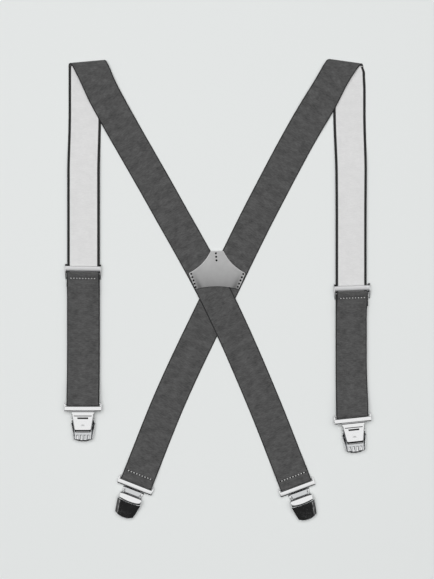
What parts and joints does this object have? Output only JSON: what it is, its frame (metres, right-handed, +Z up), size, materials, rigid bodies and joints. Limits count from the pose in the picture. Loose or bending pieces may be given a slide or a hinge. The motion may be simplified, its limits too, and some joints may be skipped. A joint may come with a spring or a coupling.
{
  "type": "clip-on suspenders",
  "caption": "X-back suspenders: two webbing straps crossed under a leather patch, with slide adjusters and lever clips at every strap end.",
  "frame": {"origin": "middle of the object's underside as it lies flat, back clips lever up and front clips lever down", "axes": "+X across the straps, +Y from the clips up to the shoulder folds, +Z up from the surface"},
  "size_m": [0.324, 0.4888, 0.009],
  "materials": {
    "webbing": "woven elastic webbing, dark grey outside and pale grey inside",
    "leather": "smooth grey leather with a stitched edge",
    "chrome": "polished chrome plate",
    "steel": "plated steel"
  },
  "bodies": {
    "root": {"leather_patch": "leather", "back_strap_left": "webbing", "back_strap_right": "webbing"},
    "front_left": {"front_strap_left": "webbing", "shoulder_fold_left": "webbing"},
    "loop_end_left": {"running_ply_left": "webbing"},
    "adjuster_left": {"adjuster_left_frame": "chrome", "adjuster_left_pin": "steel", "return_ply_left": "webbing"},
    "adjuster_cover_left": {"adjuster_left_cover": "chrome"},
    "front_clip_left": {"front_clip_left_frame": "chrome", "front_clip_left_jaw_pin": "steel", "front_clip_left_lever_pin": "steel"},
    "front_lever_left": {"front_clip_left_lever": "chrome"},
    "front_jaw_left": {"front_clip_left_jaw": "steel"},
    "back_clip_left": {"back_clip_left_frame": "chrome", "back_clip_left_jaw_pin": "steel", "back_clip_left_lever_pin": "steel"},
    "back_lever_left": {"back_clip_left_lever": "chrome"},
    "back_jaw_left": {"back_clip_left_jaw": "steel"},
    "front_right": {"front_strap_right": "webbing", "shoulder_fold_right": "webbing"},
    "loop_end_right": {"running_ply_right": "webbing"},
    "adjuster_right": {"adjuster_right_frame": "chrome", "adjuster_right_pin": "steel", "return_ply_right": "webbing"},
    "adjuster_cover_right": {"adjuster_right_cover": "chrome"},
    "front_clip_right": {"front_clip_right_frame": "chrome", "front_clip_right_jaw_pin": "steel", "front_clip_right_lever_pin": "steel"},
    "front_lever_right": {"front_clip_right_lever": "chrome"},
    "front_jaw_right": {"front_clip_right_jaw": "steel"},
    "back_clip_right": {"back_clip_right_frame": "chrome", "back_clip_right_jaw_pin": "steel", "back_clip_right_lever_pin": "steel"},
    "back_lever_right": {"back_clip_right_lever": "chrome"},
    "back_jaw_right": {"back_clip_right_jaw": "steel"}
  },
  "joints": [
    {"name": "shoulder_left", "type": "hinge", "parent": "root", "child": "front_left", "pos_m": [-0.13832, 0.23974, 0.0021], "axis": [0.996, 0.0889, 0], "range_deg": [0, 180], "deforming": ["shoulder_fold_left"]},
    {"name": "strap_length_left", "type": "slide", "parent": "front_left", "child": "loop_end_left", "axis": [0, 1, 0], "range_m": [-0.1, 0.044], "deforming": ["running_ply_left"]},
    {"name": "adjuster_slide_left", "type": "slide", "parent": "loop_end_left", "child": "adjuster_left", "axis": [0, 1, 0], "range_m": [-0.1, 0.044], "deforming": ["return_ply_left"]},
    {"name": "adjuster_cover_left", "type": "hinge", "parent": "adjuster_left", "child": "adjuster_cover_left", "pos_m": [-0.1426, 0.01174, 0.001], "axis": [-0.9998, 0.0175, 0], "range_deg": [0, 80]},
    {"name": "front_clip_swing_left", "type": "hinge", "parent": "loop_end_left", "child": "front_clip_left", "pos_m": [-0.14242, -0.12066, 0.0062], "axis": [1, 0, 0], "range_deg": [-60, 60]},
    {"name": "front_lever_left", "type": "hinge", "parent": "front_clip_left", "child": "front_lever_left", "pos_m": [-0.14242, -0.13656, 0.0038], "axis": [1, 0, 0], "range_deg": [0, 105]},
    {"name": "front_jaw_left", "type": "hinge", "parent": "front_clip_left", "child": "front_jaw_left", "pos_m": [-0.14242, -0.13156, 0.0064], "axis": [1, 0, 0], "range_deg": [0, 6]},
    {"name": "back_clip_swing_left", "type": "hinge", "parent": "root", "child": "back_clip_left", "pos_m": [0.08228, -0.20576, 0.0028], "axis": [0.9367, 0.3502, 0], "range_deg": [-60, 60]},
    {"name": "back_lever_left", "type": "hinge", "parent": "back_clip_left", "child": "back_lever_left", "pos_m": [0.08785, -0.22065, 0.0052], "axis": [-0.9367, -0.3502, 0], "range_deg": [0, 105]},
    {"name": "back_jaw_left", "type": "hinge", "parent": "back_clip_left", "child": "back_jaw_left", "pos_m": [0.0861, -0.21597, 0.0026], "axis": [-0.9367, -0.3502, 0], "range_deg": [0, 6]},
    {"name": "shoulder_right", "type": "hinge", "parent": "root", "child": "front_right", "pos_m": [0.13568, 0.23974, 0.0021], "axis": [0.99, -0.1409, 0], "range_deg": [0, 180], "deforming": ["shoulder_fold_right"]},
    {"name": "strap_length_right", "type": "slide", "parent": "front_right", "child": "loop_end_right", "axis": [0, 1, 0], "range_m": [-0.1, 0.055], "deforming": ["running_ply_right"]},
    {"name": "adjuster_slide_right", "type": "slide", "parent": "loop_end_right", "child": "adjuster_right", "axis": [0, 1, 0], "range_m": [-0.1, 0.055], "deforming": ["return_ply_right"]},
    {"name": "adjuster_cover_right", "type": "hinge", "parent": "adjuster_right", "child": "adjuster_cover_right", "pos_m": [0.14225, -0.00895, 0.001], "axis": [-0.9994, -0.0349, 0], "range_deg": [0, 80]},
    {"name": "front_clip_swing_right", "type": "hinge", "parent": "loop_end_right", "child": "front_clip_right", "pos_m": [0.14188, -0.13286, 0.0062], "axis": [0.9947, 0.1028, 0], "range_deg": [-60, 60]},
    {"name": "front_lever_right", "type": "hinge", "parent": "front_clip_right", "child": "front_lever_right", "pos_m": [0.14352, -0.14868, 0.0038], "axis": [0.9947, 0.1028, 0], "range_deg": [0, 105]},
    {"name": "front_jaw_right", "type": "hinge", "parent": "front_clip_right", "child": "front_jaw_right", "pos_m": [0.143, -0.1437, 0.0064], "axis": [0.9947, 0.1028, 0], "range_deg": [0, 6]},
    {"name": "back_clip_swing_right", "type": "hinge", "parent": "root", "child": "back_clip_right", "pos_m": [-0.08582, -0.20376, 0.0028], "axis": [0.9304, -0.3665, 0], "range_deg": [-60, 60]},
    {"name": "back_lever_right", "type": "hinge", "parent": "back_clip_right", "child": "back_lever_right", "pos_m": [-0.09164, -0.21855, 0.0052], "axis": [-0.9304, 0.3665, 0], "range_deg": [0, 105]},
    {"name": "back_jaw_right", "type": "hinge", "parent": "back_clip_right", "child": "back_jaw_right", "pos_m": [-0.08981, -0.2139, 0.0026], "axis": [-0.9304, 0.3665, 0], "range_deg": [0, 6]}
  ],
  "couplings": [
    {"joint": "adjuster_slide_left", "follows": "strap_length_left", "ratio": 1},
    {"joint": "front_jaw_left", "follows": "front_lever_left", "ratio": 0.057143},
    {"joint": "back_jaw_left", "follows": "back_lever_left", "ratio": 0.057143},
    {"joint": "adjuster_slide_right", "follows": "strap_length_right", "ratio": 1},
    {"joint": "front_jaw_right", "follows": "front_lever_right", "ratio": 0.057143},
    {"joint": "back_jaw_right", "follows": "back_lever_right", "ratio": 0.057143}
  ]
}
